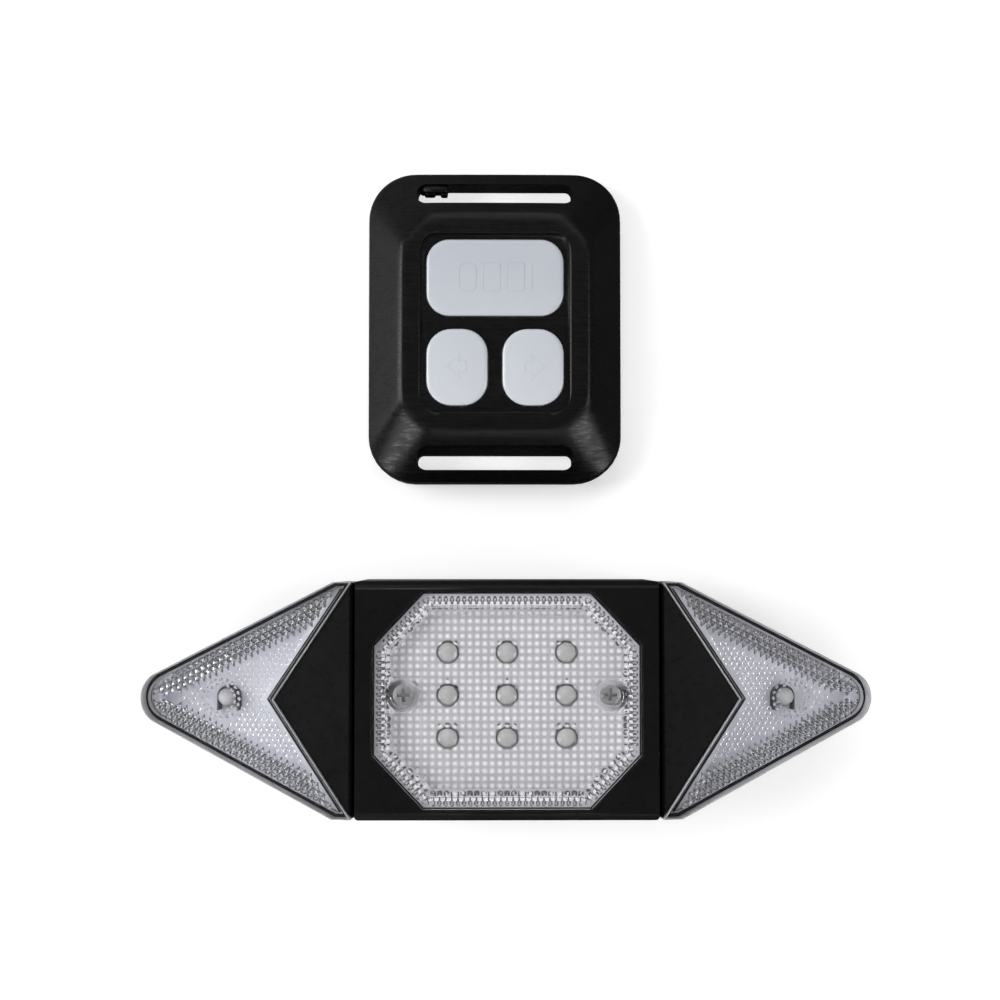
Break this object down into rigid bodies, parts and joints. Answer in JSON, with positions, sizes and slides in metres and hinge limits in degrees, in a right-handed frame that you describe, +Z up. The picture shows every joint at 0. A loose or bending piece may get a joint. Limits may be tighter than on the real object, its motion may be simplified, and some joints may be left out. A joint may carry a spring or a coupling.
{
  "type": "bicycle turn signal light",
  "caption": "Bicycle tail lamp with an octagonal prism lens and swept dart-shaped turn-signal wings, with its strap-on wireless remote with wide mode key and arrow keys.",
  "frame": {"origin": "middle of the set's footprint on the surface that both pieces lie on", "axes": "+Z up, out of the lens and keys; +X to the right-hand wing; +Y from the lamp to the remote"},
  "size_m": [0.1278, 0.1154, 0.0236],
  "materials": {
    "housing_black": "fine satin moulding",
    "bezel_black": "satin moulding",
    "remote_black": "satin moulding",
    "clear_lens": "clear polished",
    "reflector_pale": "silvered satin",
    "led_clear": "clear epoxy",
    "key_grey": "smooth silicone",
    "black_rubber": "matte",
    "board_green": "solder mask",
    "switch_black": "moulded",
    "bright_steel": "nickel plated",
    "pouch_foil": "laminated foil",
    "contact_brass": "spring sheet"
  },
  "bodies": {
    "lamp": {"rear_housing": "housing_black", "front_bezel": "bezel_black", "bezel_gasket": "black_rubber", "center_lens": "clear_lens", "lens_screws": "bright_steel", "center_reflector": "reflector_pale", "center_leds": "led_clear", "center_led_board": "board_green", "control_board": "board_green", "battery_cell": "pouch_foil", "usb_socket": "bright_steel", "power_switch": "switch_black", "left_wing_lens": "clear_lens", "left_wing_reflector": "reflector_pale", "left_wing_led": "led_clear", "left_wing_board": "board_green", "right_wing_lens": "clear_lens", "right_wing_reflector": "reflector_pale", "right_wing_led": "led_clear", "right_wing_board": "board_green"},
    "port_flap": {"usb_port_flap": "black_rubber"},
    "power_push": {"power_button": "black_rubber", "power_switch_plunger": "switch_black"},
    "remote": {"remote_base": "remote_black", "remote_top_shell": "remote_black", "base_screws": "bright_steel", "remote_board": "board_green", "key_switches": "switch_black", "coin_cell": "bright_steel", "cell_contact": "contact_brass"},
    "mode_push": {"mode_key": "key_grey", "mode_key_plunger": "switch_black"},
    "left_push": {"left_key": "key_grey", "left_key_plunger": "switch_black"},
    "right_push": {"right_key": "key_grey", "right_key_plunger": "switch_black"},
    "door": {"cell_door": "remote_black", "door_seal": "black_rubber"}
  },
  "joints": [
    {"name": "port_flap_hinge", "type": "hinge", "parent": "lamp", "child": "port_flap", "pos_m": [-0.01475, -0.0568, 0.0093], "axis": [0, 0, -1], "range_deg": [0, 90]},
    {"name": "power_button_press", "type": "slide", "parent": "lamp", "child": "power_push", "axis": [0, 1, 0], "range_m": [0, 0.0008], "stiffness_N_per_m": 600, "springref_m": -0.0005},
    {"name": "remote_lift", "type": "slide", "parent": "lamp", "child": "remote", "axis": [0, 0, 1], "range_m": [0, 0.1]},
    {"name": "mode_key_press", "type": "slide", "parent": "remote", "child": "mode_push", "axis": [0, 0, -1], "range_m": [0, 0.0008], "stiffness_N_per_m": 600, "springref_m": -0.0005},
    {"name": "left_key_press", "type": "slide", "parent": "remote", "child": "left_push", "axis": [0, 0, -1], "range_m": [0, 0.0008], "stiffness_N_per_m": 600, "springref_m": -0.0005},
    {"name": "right_key_press", "type": "slide", "parent": "remote", "child": "right_push", "axis": [0, 0, -1], "range_m": [0, 0.0008], "stiffness_N_per_m": 600, "springref_m": -0.0005},
    {"name": "cell_door_turn", "type": "hinge", "parent": "remote", "child": "door", "pos_m": [-0.002, 0.02915, 0], "axis": [0, 0, 1], "range_deg": [0, 45]}
  ]
}
